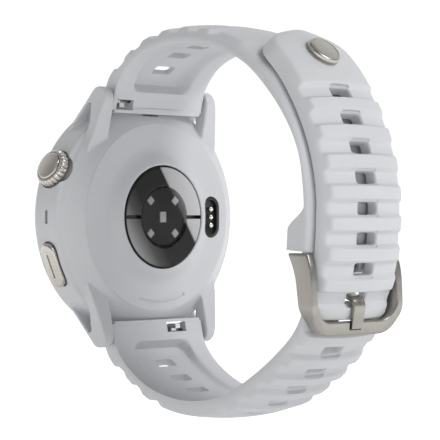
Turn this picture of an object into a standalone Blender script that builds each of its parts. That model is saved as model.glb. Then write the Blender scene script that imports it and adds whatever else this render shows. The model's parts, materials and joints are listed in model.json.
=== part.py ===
"""A GPS running watch, fastened on its buckle, as an assembly of separate pieces.

+Z is the 12 o'clock direction, +X the 3 o'clock side with the crown, and +Y points from the case to the
wrist. The origin is the middle of the sensor window's outer face, where the watch rests on the wrist.
Sizes below are in millimetres, and MM turns them into metres.
"""

import math

import bmesh
import bpy
import numpy as np
from mathutils import Matrix, Vector

MM = 0.001
GAP = 0.3                   # room between pieces that touch on the real watch
RING_STEPS = 44             # facets round a large turned piece
HIDDEN_STEPS = 28           # and round one inside the case
SMALL_STEPS = 20            # facets round a small one

CASE_R = 21.3               # case middle, outside
CAVITY_R = 16.9             # case middle, inside
CASE_FRONT_Y = -11.3        # where the case middle meets the bezel
CASE_BACK_Y = -4.9          # where it meets the back cover
SEAT_R, SEAT_Y = 18.1, -5.6     # the step the back gasket lies on
FRONT_Y = -13.0             # outer face of the front glass
FLAT_Z = 18.8               # the flats between the lugs, at 12 and 6 o'clock
LUG_IN_X = 11.3             # inner face of a lug
LUG_THICK = 2.0             # at the tip
LUG_TIP_Z = 22.0            # from here towards the case a lug widens outwards
LUG_FLARE = 0.22
LUG_ROOM = 0.25             # gap between a lug and the back cover
BAR_Y, BAR_Z = -3.1, 21.5   # axis of a spring bar, in the upper lugs
BAR_HOLE_R = 0.7

CONTROL_ANGLE = 23.5        # the crown is this far above 3 o'clock, and the button below it
CONTROL_Y = -7.5
POCKET_FLOOR = 19.9         # distance of the pocket floors from the case's axis
CROWN_R = 3.45
CROWN_BASE = 20.8           # inner face of the crown knob, from the case's axis
BUTTON_LENGTH, BUTTON_WIDTH = 8.4, 3.5
BUTTON_BASE, BUTTON_TOP = 20.9, 22.0
STEM_R = 0.8
SHAFT_END = 14.4            # inner end of the crown stem and the button's shaft

COVER_RIM_R = 20.4
TEXT_RING_R = 17.0
BOSS_R = 9.4                # hole in the back cover for the sensor carrier
WINDOW_R = 5.5
DIODE_OFFSET = 2.95
PORT_X = -13.0              # middle of the charging port
PINS_X = -13.2
PORT_WIDTH, PORT_LENGTH = 4.0, 7.4
PIN_PITCH = 1.5

STRAP_HALF = 10.8           # half the strap's width at the lugs
TAIL_HALF = 9.45            # and at the tail
CROWNING = 0.85             # how far a strap's middle stands above its edges
SIDE_WALL = 0.95
CHAMFER = 1.05
GROOVE = 0.7                # depth of the cross grooves
GROOVE_LENGTH = 2.9
HOLE_PITCH = 4.87           # along the strap's middle
HOLE_WIDTH, HOLE_HEIGHT = 4.5, 2.3
POCKET_HALF = 6.8           # the finger pocket inside each strap end
UPPER_WINDOW = (6.0, 10.0)  # the windows in the strap ends for the spring bars' release knobs, in x
LOWER_WINDOW = (-6.6, -2.0)
TONGUE_HOLE = 7             # the hole, counted from the tail, that the buckle is fastened in
BUCKLE_PIN_Y, BUCKLE_PIN_Z = 43.9, -7.9
PIN_R, PIN_HOLE_R = 0.75, 0.83
FRAME_HALF = 11.1
ARM_THICK = 1.35
DENT_ROOM = 0.25            # the buckle presses this much clear room into the strap
TAB_HALF = 7.4              # the strap's narrow end between the buckle's arms

# The line along which each strap's inner edges run, as (y, z), from its spring bar.
SHORT_LINE = ((-1.7, 19.3), (-0.5, 23.2), (2.7, 26.8), (7.5, 28.9), (13.5, 29.8), (19.5, 29.4), (25.5, 27.9),
              (31.5, 25.1), (36.6, 20.7), (40.8, 15.6), (43.5, 10.3), (44.6, 4.2), (44.75, -1.0), (44.5, -5.4))
LONG_LINE = ((-1.7, -19.3), (-0.5, -23.2), (3.2, -26.9), (9.2, -29.9), (17.0, -31.1), (25.0, -29.9),
             (31.8, -26.3), (37.8, -21.9), (41.7, -18.0), (44.1, -12.8), (45.6, -7.5), (46.2, -1.0),
             (46.1, 4.5), (44.8, 10.5), (42.2, 16.5), (38.6, 22.0), (35.0, 25.8), (31.6, 28.4))

COLOURS = {
    # name: (red, green, blue), roughness, metallic
    "case_polymer": ((0.78, 0.79, 0.80), 0.45, 0.0),
    "strap_rubber": ((0.80, 0.81, 0.82), 0.6, 0.0),
    "titanium": ((0.42, 0.40, 0.37), 0.35, 1.0),
    "steel": ((0.62, 0.62, 0.63), 0.3, 1.0),
    "glass": ((0.03, 0.03, 0.035), 0.05, 0.0),
    "mirror_metal": ((0.25, 0.25, 0.27), 0.1, 1.0),
    "black_plastic": ((0.02, 0.02, 0.02), 0.4, 0.0),
    "gold": ((0.75, 0.6, 0.3), 0.25, 1.0),
    "board_green": ((0.03, 0.16, 0.08), 0.5, 0.0),
    "silicon": ((0.75, 0.75, 0.72), 0.3, 0.0),
    "battery_foil": ((0.55, 0.56, 0.58), 0.35, 0.6),
    "seal_rubber": ((0.03, 0.03, 0.03), 0.7, 0.0),
}


# ---- scene, materials and small helpers ----

def clear_scene():
    for obj in list(bpy.data.objects):
        bpy.data.objects.remove(obj, do_unlink=True)


def make_collection(name):
    collection = bpy.data.collections.new(name)
    bpy.context.scene.collection.children.link(collection)
    return collection


def make_materials():
    made = {}
    for name, (colour, roughness, metallic) in COLOURS.items():
        material = bpy.data.materials.new(name)
        material.use_nodes = True
        shader = material.node_tree.nodes["Principled BSDF"]
        shader.inputs["Base Color"].default_value = (*colour, 1.0)
        shader.inputs["Roughness"].default_value = roughness
        shader.inputs["Metallic"].default_value = metallic
        made[name] = material
    return made


clear_scene()
PARTS = make_collection("gps_running_watch")
CUTTERS = make_collection("cutters")
MATERIALS = make_materials()
Y_AXIS = Matrix.Rotation(math.radians(-90), 4, "X")      # a turned piece's axis goes from +Z to +Y
X_AXIS = Matrix.Rotation(math.radians(90), 4, "Y")       # and here from +Z to +X
SIDE_PLANE = Matrix(((0, 0, 1, 0), (1, 0, 0, 0), (0, 1, 0, 0), (0, 0, 0, 1)))   # a flat outline's x, y become Y, Z


def shift(x=0.0, y=0.0, z=0.0):
    return Matrix.Translation((x * MM, y * MM, z * MM))


def radial(angle, distance=0.0):
    """A place on the case's side: local Z points outwards and local X goes round the case towards 12 o'clock."""
    a = math.radians(angle)
    out = Vector((math.cos(a), 0, math.sin(a)))
    along = Vector((-math.sin(a), 0, math.cos(a)))
    axes = Matrix((along, out.cross(along), out)).transposed().to_4x4()
    return shift(out.x * distance, CONTROL_Y, out.z * distance) @ axes


def place(obj, material, matrix=None, parent=None, smooth=True):
    """Gives a piece its material and its place, and shades its round sides smooth."""
    PARTS.objects.link(obj)
    obj.data.materials.clear()
    obj.data.materials.append(MATERIALS[material])
    if parent:
        obj.parent = parent
        obj.matrix_parent_inverse = parent.matrix_world.inverted()
    obj.matrix_world = matrix or Matrix()
    if smooth:
        obj.data.shade_smooth()
        obj.data.set_sharp_from_angle(angle=math.radians(35))
    return obj


def make_cutter(obj, matrix=None):
    CUTTERS.objects.link(obj)
    obj.matrix_world = matrix or Matrix()
    obj.hide_render = True
    obj.display_type = "WIRE"
    return obj


def boolean(obj, other, operation="DIFFERENCE"):
    modifier = obj.modifiers.new("boolean", "BOOLEAN")
    modifier.operation = operation
    modifier.object = other


def cut(obj, *cutters):
    for cutter in cutters:
        boolean(obj, cutter)
    return obj


def axis_empty(name, matrix):
    """An empty on a joint's axis, which holds the pieces that move on it."""
    empty = bpy.data.objects.new(name, None)
    PARTS.objects.link(empty)
    empty.empty_display_size = 0.005
    empty.matrix_world = matrix
    bpy.context.view_layer.update()
    return empty


# ---- shapes ----

def object_from_bmesh(name, bm):
    mesh = bpy.data.meshes.new(name)
    bm.to_mesh(mesh)
    bm.free()
    return bpy.data.objects.new(name, mesh)


def cylinder(name, radius, low, high, steps=SMALL_STEPS):
    """A round bar along local Z, between two heights."""
    bm = bmesh.new()
    at = shift(z=(low + high) / 2)
    bmesh.ops.create_cone(bm, cap_ends=True, segments=steps, radius1=radius * MM, radius2=radius * MM,
                          depth=(high - low) * MM, matrix=at)
    return object_from_bmesh(name, bm)


def box(name, low, high, bevel=0.0):
    """A block between two corners, with its edges rounded."""
    bm = bmesh.new()
    size = [(b - a) * MM for a, b in zip(low, high)]
    centre = [(a + b) / 2 for a, b in zip(low, high)]
    bmesh.ops.create_cube(bm, size=1.0, matrix=shift(*centre) @ Matrix.Diagonal((*size, 1.0)))
    obj = object_from_bmesh(name, bm)
    if bevel:
        modifier = obj.modifiers.new("bevel", "BEVEL")
        modifier.width = bevel * MM
        modifier.segments = 2
    return obj


def turned(name, profile, steps=RING_STEPS, closed=False):
    """A profile of (radius, height) turned about local Z. It runs down the outer side, top to bottom."""
    mesh = bpy.data.meshes.new(name)
    points = [(r * MM, 0.0, h * MM) for r, h in profile]
    edges = [(i, i + 1) for i in range(len(points) - 1)]
    if closed:
        edges.append((len(points) - 1, 0))
    mesh.from_pydata(points, edges, [])
    obj = bpy.data.objects.new(name, mesh)
    screw = obj.modifiers.new("screw", "SCREW")
    screw.steps = steps
    screw.render_steps = steps
    screw.use_merge_vertices = True
    screw.merge_threshold = 1e-6
    screw.use_smooth_shade = True
    return obj


def ring(name, inner, outer, low, high, steps=RING_STEPS):
    return turned(name, ((outer, high), (outer, low), (inner, low), (inner, high)), steps, closed=True)


def prism(name, outlines, low, high):
    """Flat outlines, the first the outside and the others holes, made solid between two local heights."""
    curve = bpy.data.curves.new(name, "CURVE")
    curve.dimensions = "2D"
    curve.fill_mode = "BOTH"
    curve.extrude = (high - low) / 2 * MM
    for outline in outlines:
        spline = curve.splines.new("POLY")
        spline.points.add(len(outline) - 1)
        spline.use_cyclic_u = True
        for point, (x, y) in zip(spline.points, outline):
            point.co = (x * MM, y * MM, 0.0, 1.0)
    obj = mesh_from_curve(name, curve)
    obj.data.transform(shift(z=(low + high) / 2))
    return obj


def mesh_from_curve(name, curve):
    temporary = bpy.data.objects.new(name + "_curve", curve)
    bpy.context.scene.collection.objects.link(temporary)
    depsgraph = bpy.context.evaluated_depsgraph_get()
    mesh = bpy.data.meshes.new_from_object(temporary.evaluated_get(depsgraph))
    bm = bmesh.new()
    bm.from_mesh(mesh)
    bmesh.ops.remove_doubles(bm, verts=bm.verts, dist=1e-7)
    bmesh.ops.recalc_face_normals(bm, faces=bm.faces)
    bm.to_mesh(mesh)
    bm.free()
    bpy.data.objects.remove(temporary)
    mesh.name = name
    return bpy.data.objects.new(name, mesh)


def arc(centre, radius, start, end, steps):
    """Points on an arc, its angles in degrees."""
    angles = np.radians(np.linspace(start, end, steps + 1))
    return [(centre[0] + radius * math.cos(a), centre[1] + radius * math.sin(a)) for a in angles]


def pill(length, width, steps=8):
    """A slot outline, long in x, about the origin."""
    r, straight = width / 2, (length - width) / 2
    return arc((straight, 0), r, -90, 90, steps) + arc((-straight, 0), r, 90, 270, steps)


def rounded_rectangle(width, height, radius, steps=3):
    x, y = width / 2 - radius, height / 2 - radius
    corners = ((x, y, 0), (-x, y, 90), (-x, -y, 180), (x, -y, 270))
    return [p for cx, cy, a in corners for p in arc((cx, cy), radius, a, a + 90, steps)]


def coil(name, radius, wire, low, high, turns):
    """A compression spring about local Z."""
    curve = bpy.data.curves.new(name, "CURVE")
    curve.dimensions = "3D"
    curve.bevel_depth = wire / 2 * MM
    curve.bevel_resolution = 1
    curve.use_fill_caps = True
    count = turns * 8 + 1
    spline = curve.splines.new("POLY")
    spline.points.add(count - 1)
    for i, point in enumerate(spline.points):
        t = i / (count - 1)
        a = math.tau * turns * t
        height = low + wire / 2 + (high - low - wire) * t
        point.co = (radius * MM * math.cos(a), radius * MM * math.sin(a), height * MM, 1.0)
    return mesh_from_curve(name, curve)


# ---- case ----

def lug_outlines():
    """The side view of a lug: a frame with a rounded tip and a three-cornered opening."""
    tip = arc((-2.9, 21.0), 2.15, 150, 0, 7)
    outside = [(-10.2, 12.4), (-10.2, 13.3)] + tip + [(-1.0, 19.5), (-2.4, 14.0), (-3.2, 11.5), (-5.2, 10.6)]
    opening = [(-9.0, 14.3), (-5.35, 19.1), (-4.6, 19.4), (-3.9, 18.9), (-3.8, 16.8), (-5.6, 14.1)]
    return outside, opening


def grown(outline, distance):
    """A clockwise outline, moved outwards by a distance."""
    points = [Vector(p) for p in outline]
    moved = []
    for before, point, after in zip(points[-1:] + points[:-1], points, points[1:] + points[:1]):
        first, second = (point - before).normalized(), (after - point).normalized()
        corner = Vector((-first.y - second.y, first.x + second.x))
        moved.append(point + corner * (distance / max(0.35, 1 + first.dot(second))))
    return [tuple(p) for p in moved]


def lug(name, outlines, side_x, side_z, room=0.0):
    """One lug, which widens from its tip towards the case, or with some room the shape that clears it."""
    shape = prism(name, outlines, LUG_IN_X - room, LUG_IN_X + LUG_THICK + room)
    shape.data.transform(SIDE_PLANE)
    for vertex in shape.data.vertices:
        if vertex.co.x > (LUG_IN_X + 1) * MM:
            vertex.co.x += LUG_FLARE * max(0.0, LUG_TIP_Z * MM - vertex.co.z)
    shape.data.transform(Matrix.Diagonal((side_x, 1, side_z, 1)))
    if side_x * side_z < 0:
        shape.data.flip_normals()
    return make_cutter(shape)


CORNERS = ((1, 1), (-1, 1), (-1, -1), (1, -1))


def add_lugs(case):
    for x, z in CORNERS:
        boolean(case, lug("lug", lug_outlines(), x, z), "UNION")


def control_pocket(name, outline, angle):
    return make_cutter(prism(name, [outline], POCKET_FLOOR, CASE_R + 3), radial(angle))


def bar_holes(case):
    """Blind holes in the lugs for the tips of the two spring bars."""
    deep = LUG_IN_X + LUG_THICK - 0.6
    for z in (BAR_Z, -BAR_Z):
        drill = cylinder("bar_drill", BAR_HOLE_R, -deep, deep, 14)
        cut(case, make_cutter(drill, shift(0, BAR_Y, z) @ X_AXIS))


def build_case():
    outer = ((20.6, CASE_BACK_Y), (CASE_R, -5.5), (CASE_R, -10.5), (20.7, CASE_FRONT_Y))
    profile = outer + ((CAVITY_R, CASE_FRONT_Y), (CAVITY_R, CASE_BACK_Y))
    case = place(turned("case_middle", profile, closed=True), "case_polymer", Y_AXIS)
    for z in (1, -1):
        flat = box("flat_cutter", (-LUG_IN_X, -14, FLAT_Z), (LUG_IN_X, 2, 26))
        cut(case, make_cutter(flat, Matrix.Diagonal((1, 1, z, 1)) if z > 0 else shift(z=-2 * FLAT_Z - 7.2)))
    add_lugs(case)
    cut(case, make_cutter(cylinder("gasket_seat", SEAT_R, SEAT_Y, 3, RING_STEPS), Y_AXIS))
    bar_holes(case)
    cut(case, control_pocket("crown_pocket", arc((0, 0), CROWN_R + GAP, 0, 345, 23), CONTROL_ANGLE))
    cut(case, control_pocket("button_pocket", pill(BUTTON_LENGTH + 2 * GAP, BUTTON_WIDTH + 2 * GAP),
                             -CONTROL_ANGLE))
    for angle in (CONTROL_ANGLE, -CONTROL_ANGLE):
        cut(case, make_cutter(cylinder("shaft_drill", 1.75, 12, 21, 16), radial(angle)))
    cut(case, make_cutter(prism("mic_drill", [pill(2.7, 0.9, 4)], 12, 24), radial(0)))
    mic = prism("mic_mesh", [pill(2.2, 0.5, 4)], 20.2, 20.5)
    place(mic, "seal_rubber", radial(0))
    for name, angle in (("crown_bush", CONTROL_ANGLE), ("button_bush", -CONTROL_ANGLE)):
        place(ring(name, 0.88, 1.5, 15.9, 18.2, SMALL_STEPS), "steel", radial(angle))


def build_front():
    bezel = ((20.4, -11.6), (20.0, -12.3), (18.9, -12.95), (17.9, FRONT_Y), (17.7, -12.8), (17.7, -11.6))
    place(turned("bezel_ring", bezel, closed=True), "titanium", Y_AXIS)
    glass = ((0, -11.9), (17.4, -11.9), (17.4, -12.8), (17.2, FRONT_Y), (0, FRONT_Y))
    place(turned("front_glass", glass), "glass", Y_AXIS)
    place(cylinder("display_panel", 16.4, -11.6, -10.7, HIDDEN_STEPS), "black_plastic", Y_AXIS)
    place(ring("antenna_ring", 16.25, 16.6, -10.4, -9.2, HIDDEN_STEPS), "gold", Y_AXIS)


def build_inside():
    """The board is screwed to a support ring behind the display, with the battery between it and the back."""
    support = place(ring("display_frame", 6.0, 15.9, -10.5, -9.9, HIDDEN_STEPS), "steel", Y_AXIS)
    board = place(cylinder("main_board", 15.9, -9.7, -9.25, HIDDEN_STEPS), "board_green", Y_AXIS)
    for number, angle in enumerate((45, 135, 225, 315), 1):
        x, z = 14.3 * math.cos(math.radians(angle)), 14.3 * math.sin(math.radians(angle))
        for plate in (support, board):
            cut(plate, make_cutter(cylinder("screw_drill", 0.6, -11, -8, 12), shift(x, 0, z) @ Y_AXIS))
        screw = ((0, -8.5), (0.85, -8.5), (0.85, -9.15), (0.4, -9.15), (0.4, -10.4), (0, -10.4))
        place(turned(f"board_screw_{number}", screw, 14), "steel", shift(x, 0, z) @ Y_AXIS)
    place(box("battery", (-8.2, -8.9, -10), (8.2, -4.6, 10), 0.6), "battery_foil")
    place(box("haptic_motor", (-14.4, -8.8, -5), (-10.4, -5.8, 5), 0.5), "steel")
    for name, angle in (("crown_switch", CONTROL_ANGLE), ("button_switch", -CONTROL_ANGLE)):
        place(box(name, (-1.5, -1.2, 12.2), (1.5, 1.1, 13.6), 0.2), "black_plastic", radial(angle))


# ---- back ----

def build_back_cover():
    outside = ((9.75, -0.2), (10.3, -0.4), (11.0, -0.85), (11.7, -1.25), (12.6, -1.45), (16.7, -1.65),
               (TEXT_RING_R + 0.3, -1.8), (COVER_RIM_R - 0.3, -3.9), (COVER_RIM_R, -4.3), (COVER_RIM_R, -4.6))
    inside = ((16.6, -4.6), (16.6, -5.6), (15.8, -5.6), (15.4, -3.3), (BOSS_R, -2.9), (BOSS_R, -0.35))
    cover = place(turned("back_cover", outside + inside, closed=True), "case_polymer", Y_AXIS)
    for z in (1, -1):
        low, high = sorted((z * (FLAT_Z - 0.1), z * 24))
        cut(cover, make_cutter(box("cover_flat", (-LUG_IN_X - 3, -8, low), (LUG_IN_X + 3, 2, high))))
    outside, _ = lug_outlines()
    kept = make_cutter(cylinder("seat_clearance", SEAT_R - LUG_ROOM, -12, 3, RING_STEPS), Y_AXIS)
    for x, z in CORNERS:
        clearance = lug("lug_clearance", [grown(outside, LUG_ROOM)], x, z, LUG_ROOM)
        cut(cover, cut(clearance, kept))
    cut(cover, control_pocket("crown_clearance", arc((0, 0), CROWN_R + GAP, 0, 345, 23), CONTROL_ANGLE))
    port = prism("port_cutter", [pill(PORT_LENGTH + 2 * GAP, PORT_WIDTH + 2 * GAP)], -8, 2)
    cut(cover, make_cutter(port, shift(PORT_X) @ Y_AXIS @ Matrix.Rotation(math.radians(90), 4, "Z")))
    place(ring("back_gasket", 17.5, 17.9, -5.4, -4.75, 40), "seal_rubber", Y_AXIS)


def build_charge_port():
    upright = shift(PORT_X) @ Y_AXIS @ Matrix.Rotation(math.radians(90), 4, "Z")
    socket = prism("charge_socket", [pill(PORT_LENGTH, PORT_WIDTH)], -3.9, -1.35)
    place(socket, "black_plastic", upright)
    recess = prism("socket_recess", [pill(PORT_LENGTH - 0.8, PORT_WIDTH - 0.8)], -2.4, 1)
    cut(socket, make_cutter(recess, upright))
    for number, z in enumerate((PIN_PITCH, 0, -PIN_PITCH), 1):
        at = shift(PINS_X, 0, z) @ Y_AXIS
        cut(socket, make_cutter(cylinder("pin_drill", 0.58, -5, -1, 14), at))
        place(cylinder(f"charge_pin_{number}", 0.45, -3.7, -1.45, 14), "gold", at)


def build_sensor():
    carrier = ((9.15, -0.15), (9.15, -2.5), (5.2, -2.5), (5.2, -1.25), (8.95, -1.25), (8.95, -0.15))
    place(turned("sensor_carrier", carrier, closed=True), "black_plastic", Y_AXIS)
    for name, start in (("electrode_upper", 3), ("electrode_lower", 183)):
        half = arc((0, 0), 8.7, start, start + 174, 24) + arc((0, 0), 5.75, start + 174, start, 18)
        plate = prism(name, [half], -0.95, -0.08)
        place(plate, "mirror_metal", Y_AXIS @ Matrix.Rotation(math.pi, 4, "X") @ shift(z=1.03))
    window = ((0, 0), (WINDOW_R - 0.15, 0), (WINDOW_R, -0.12), (WINDOW_R, -0.95), (0, -0.95))
    place(turned("sensor_window", window, 40), "glass", Y_AXIS)
    place(cylinder("sensor_board", 4.9, -2.4, -2.05, 28), "black_plastic", Y_AXIS)
    place(box("led_cluster", (-0.82, -1.95, -0.82), (0.82, -1.4, 0.82)), "silicon")
    for number, (x, z) in enumerate(CORNERS, 1):
        diode = box(f"photodiode_{number}", (-0.6, -1.95, -0.6), (0.6, -1.4, 0.6))
        turn = Matrix.Rotation(math.radians(45), 4, "Y")
        place(diode, "silicon", shift(x * DIODE_OFFSET, 0, z * DIODE_OFFSET) @ turn)


# ---- crown and button ----

def build_crown():
    at = radial(CONTROL_ANGLE)
    axis = axis_empty("crown_axis", radial(CONTROL_ANGLE, CROWN_BASE))
    stem = ((0, 21.75), (STEM_R, 21.75), (STEM_R, 15.5), (1.4, 15.5), (1.4, 14.9), (STEM_R, 14.9),
            (STEM_R, SHAFT_END), (0, SHAFT_END))
    place(turned("crown_stem", stem, SMALL_STEPS), "steel", at, axis)
    place(coil("crown_spring", 1.32, 0.22, 18.45, 20.65, 3), "steel", at, axis)
    base = CROWN_BASE
    knob_profile = ((2.7, base + 1.75), (2.95, base + 1.75), (CROWN_R, base + 1.2), (CROWN_R, base + 0.3),
                    (CROWN_R - 0.25, base), (0.9, base), (0.9, base + 1.1), (0, base + 1.1))
    knob = turned("crown_knob", ((0, base + 1.4), (2.7, base + 1.4)) + knob_profile, 40)
    place(knob, "titanium", at, axis)
    bm = bmesh.new()
    for i in range(20):
        turn = Matrix.Rotation(math.tau * i / 20, 4, "Z") @ shift(CROWN_R + 0.15, 0, base + 0.75)
        bmesh.ops.create_cube(bm, size=1.0, matrix=turn @ Matrix.Diagonal((0.7 * MM, 0.35 * MM, 1.1 * MM, 1)))
    cut(knob, make_cutter(object_from_bmesh("knurl_cutter", bm), at))
    cap = ((0, base + 2.05), (2.2, base + 2.0), (2.45, base + 1.8), (2.45, base + 1.55), (0, base + 1.55))
    place(turned("crown_cap", cap, 32), "titanium", at, axis)


def build_button():
    at = radial(-CONTROL_ANGLE)
    axis = axis_empty("button_axis", radial(-CONTROL_ANGLE, BUTTON_BASE))
    button = prism("side_button", [pill(BUTTON_LENGTH, BUTTON_WIDTH, 10)], BUTTON_BASE, BUTTON_TOP)
    place(button, "titanium", at, axis)
    shaft = make_cutter(cylinder("button_shaft", STEM_R, SHAFT_END, BUTTON_BASE + 0.3), at)
    boolean(button, shaft, "UNION")
    groove = prism("button_groove", [pill(4.6, 0.35, 4)], BUTTON_TOP - 0.35, BUTTON_TOP + 1)
    cut(button, make_cutter(groove, at))
    place(ring("button_clip", 0.95, 1.5, 15.0, 15.4, SMALL_STEPS), "steel", at, axis)
    place(coil("button_spring", 1.32, 0.22, 18.45, 20.75, 3), "steel", at, axis)


# ---- straps ----

class Line:
    """A smooth curve in the side view through a strap's points, measured along its length in millimetres."""

    def __init__(self, points):
        p = np.array(points, float)
        ends = np.vstack([2 * p[0] - p[1], p, 2 * p[-1] - p[-2]])
        samples = []
        for i in range(1, len(ends) - 2):
            a, b, c, d = ends[i - 1], ends[i], ends[i + 1], ends[i + 2]
            for t in np.arange(0, 1, 0.05):
                samples.append(0.5 * (2 * b + (c - a) * t + (2 * a - 5 * b + 4 * c - d) * t * t
                                      + (3 * b - a - 3 * c + d) * t ** 3))
        samples.append(p[-1])
        self.points = np.array(samples)
        steps = np.linalg.norm(np.diff(self.points, axis=0), axis=1)
        self.at = np.concatenate([[0], np.cumsum(steps)])
        self.length = self.at[-1]

    def point(self, s):
        return np.array([np.interp(s, self.at, self.points[:, k]) for k in (0, 1)])

    def normal(self, s, side):
        ahead, behind = self.point(min(s + 0.8, self.length)), self.point(max(s - 0.8, 0))
        along = (ahead - behind) / np.linalg.norm(ahead - behind)
        return side * np.array([-along[1], along[0]])

    def lengths_above(self, side, height):
        """The length, at each sample of the line, of a curve that runs at a height above it."""
        above = np.array([self.point(s) + height * self.normal(s, side) for s in self.at])
        return np.concatenate([[0], np.cumsum(np.linalg.norm(np.diff(above, axis=0), axis=1))])


def ease(s, start, end):
    """0 before start, 1 after end, and smooth between them."""
    t = min(max((s - start) / (end - start), 0.0), 1.0)
    return t * t * (3 - 2 * t)


class Strap:
    """One half of the strap, as a cross-section that changes along its line."""

    def __init__(self, points, side):
        self.line = Line(points)
        self.side = side
        self.middle = self.line.lengths_above(side, 1.5)
        self.hole_places = []
        self.groove_places = []

    def under(self, middle_length):
        """The place on the line under a length measured along the strap's middle."""
        return float(np.interp(middle_length, self.middle, self.line.at))

    def groove_depth(self, s):
        half = GROOVE_LENGTH / 2
        nearest = min((abs(s - g) for g in self.groove_places), default=half)
        return GROOVE * (1 - ease(nearest, half - 0.55, half - 0.05))

    def half_width(self, s):
        return STRAP_HALF

    def top(self, s):
        return 2.8 + 1.6 * (1 - ease(s, 2.5, 9))

    def bulge(self, s):
        return 0.0

    def hollow(self, s):
        return 0.8 * ease(s, 8, 25)

    def pocket(self, s):
        return 1.3 * (1 - ease(s, 3.3, 25)) if s >= 3.3 else 0.0

    def section(self, s):
        """Half of the cross-section as (x, height above the line), from the middle inside to the middle outside."""
        half, top, hollow, down = self.half_width(s), self.top(s), self.hollow(s), -self.bulge(s)
        side = min(SIDE_WALL, 0.45 * top)
        top_cut = top - self.groove_depth(s)
        chamfer_x = half - CHAMFER * (top_cut - side) / max(top - side, 0.1)

        def inner(x):
            return hollow * (1 - (x / half) ** 2) + down

        def crowned(x):
            return top_cut + CROWNING * (1 - (x / chamfer_x) ** 2) * min(1.0, top / 2.5)

        pocket = self.pocket(s)
        edge = min(POCKET_HALF, 0.7 * half)
        return [(0, inner(0) + pocket), (edge - 0.4, inner(edge - 0.4) + pocket),
                (edge, inner(edge)), (half - 0.3, inner(half - 0.3)), (half, inner(half) + 0.3),
                (half, side), (chamfer_x, top_cut), (chamfer_x * 0.55, crowned(chamfer_x * 0.55)),
                (0, crowned(0))]

    def stations(self, start, end):
        """Places along the line, close together only where the section changes."""
        places = set(np.linspace(start, end, 1 + int((end - start) / 3.0)))
        half = GROOVE_LENGTH / 2
        for g in self.groove_places:
            places |= {g - half, g - half + 0.5, g + half - 0.5, g + half}
        places |= {3.2, 3.35}
        kept = []
        for s in sorted(p for p in places if start <= p <= end):
            if not kept or s - kept[-1] > 0.12:
                kept.append(s)
        return kept

    def solid(self, name, start, end):
        bm = bmesh.new()
        rows = []
        for s in self.stations(start, end):
            at, out = self.line.point(s), self.line.normal(s, self.side)
            half = self.section(s)
            loop = half + [(-x, n) for x, n in reversed(half[1:-1])]
            rows.append([bm.verts.new((x * MM, (at[0] + n * out[0]) * MM, (at[1] + n * out[1]) * MM))
                         for x, n in loop])
        count = len(rows[0])
        for a, b in zip(rows, rows[1:]):
            for i in range(count):
                j = (i + 1) % count
                bm.faces.new((a[i], a[j], b[j], b[i]))
        bm.faces.new(rows[0])
        bm.faces.new(rows[-1])
        bmesh.ops.recalc_face_normals(bm, faces=bm.faces)
        return object_from_bmesh(name, bm)

    def across(self, s, height=0.0):
        """A place on the strap: local Z points out of it and local X runs across it."""
        at, out = self.line.point(s), self.line.normal(s, self.side)
        z = Vector((0, out[0], out[1]))
        x = Vector((1, 0, 0))
        axes = Matrix((x, z.cross(x), z)).transposed().to_4x4()
        return shift(0, at[0] + height * out[0], at[1] + height * out[1]) @ axes


class ShortStrap(Strap):
    """The buckle's half. Under the tail it is only as thick as the room there."""

    def __init__(self, tail):
        super().__init__(SHORT_LINE, 1)
        self.tail = tail
        self.tip_s = self.nearest(tail.line.points[-1])
        first = 7.4
        self.hole_places = [self.under(first + HOLE_PITCH * i) for i in range(4)]
        self.groove_places = self.hole_places + [self.under(first + HOLE_PITCH * i) for i in (4, 5)]

    def nearest(self, point):
        return float(self.line.at[np.argmin(np.linalg.norm(self.line.points - point, axis=1))])

    def room(self, s):
        """The height under the tail. Near its rounded tip, the tail's edges reach in over the crowned middle."""
        gaps = np.linalg.norm(self.tail.line.points - self.line.point(s), axis=1)
        return float(gaps.min()) - GAP - 0.5 * (1 - ease(s, self.tip_s + 1, self.tip_s + 7))

    def top(self, s):
        full = super().top(s) - 0.1 * ease(s, 15, 30)
        if s < self.tip_s - 8:
            return full
        return full + (min(self.room(s), full) - full) * ease(s, self.tip_s - 8, self.tip_s - 4)

    def bulge(self, s):
        return 3.6 * ease(s, self.line.length - 7.2, self.line.length - 3.2)

    def hollow(self, s):
        return 0.3 * (1 - ease(s, 30, 45))


class LongStrap(Strap):
    """The half with the row of holes, which ends in the tail."""

    TAIL_ROUND = 5.0
    HOLES = 14

    def __init__(self):
        super().__init__(LONG_LINE, -1)
        total = self.middle[-1]
        self.stud_s = self.under(total - 6.4)
        self.first_hole = total - 13.9
        self.hole_places = [self.under(self.first_hole - HOLE_PITCH * i) for i in range(self.HOLES)]
        self.groove_places = list(self.hole_places)
        self.end_holes = [self.under(7.6 + HOLE_PITCH * i) for i in range(3)]
        self.groove_places += self.end_holes

    def top(self, s):
        """It is thinner where it bends tightly under the buckle."""
        return super().top(s) + 0.1 - 0.5 * ease(s, 45, 52) * (1 - ease(s, 58, 64))

    def half_width(self, s):
        width = STRAP_HALF + (TAIL_HALF - STRAP_HALF) * ease(s, 12, 54)
        before_end = self.line.length - s
        if before_end < self.TAIL_ROUND:
            width -= 5.5 * (1 - math.sqrt(1 - (1 - before_end / self.TAIL_ROUND) ** 2 * 0.98))
        return width

    def stations(self, start, end):
        rounding = [end - self.TAIL_ROUND * t for t in (0.75, 0.5, 0.3, 0.15, 0.05)]
        kept = [s for s in super().stations(start, end) if s <= end - self.TAIL_ROUND]
        return kept + rounding + [end]


def cut_holes(strap, obj, places):
    outline = rounded_rectangle(HOLE_WIDTH, HOLE_HEIGHT, 0.45, 2)
    for s in places:
        cut(obj, make_cutter(prism("strap_hole", [outline], -3, 7), strap.across(s)))


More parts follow.
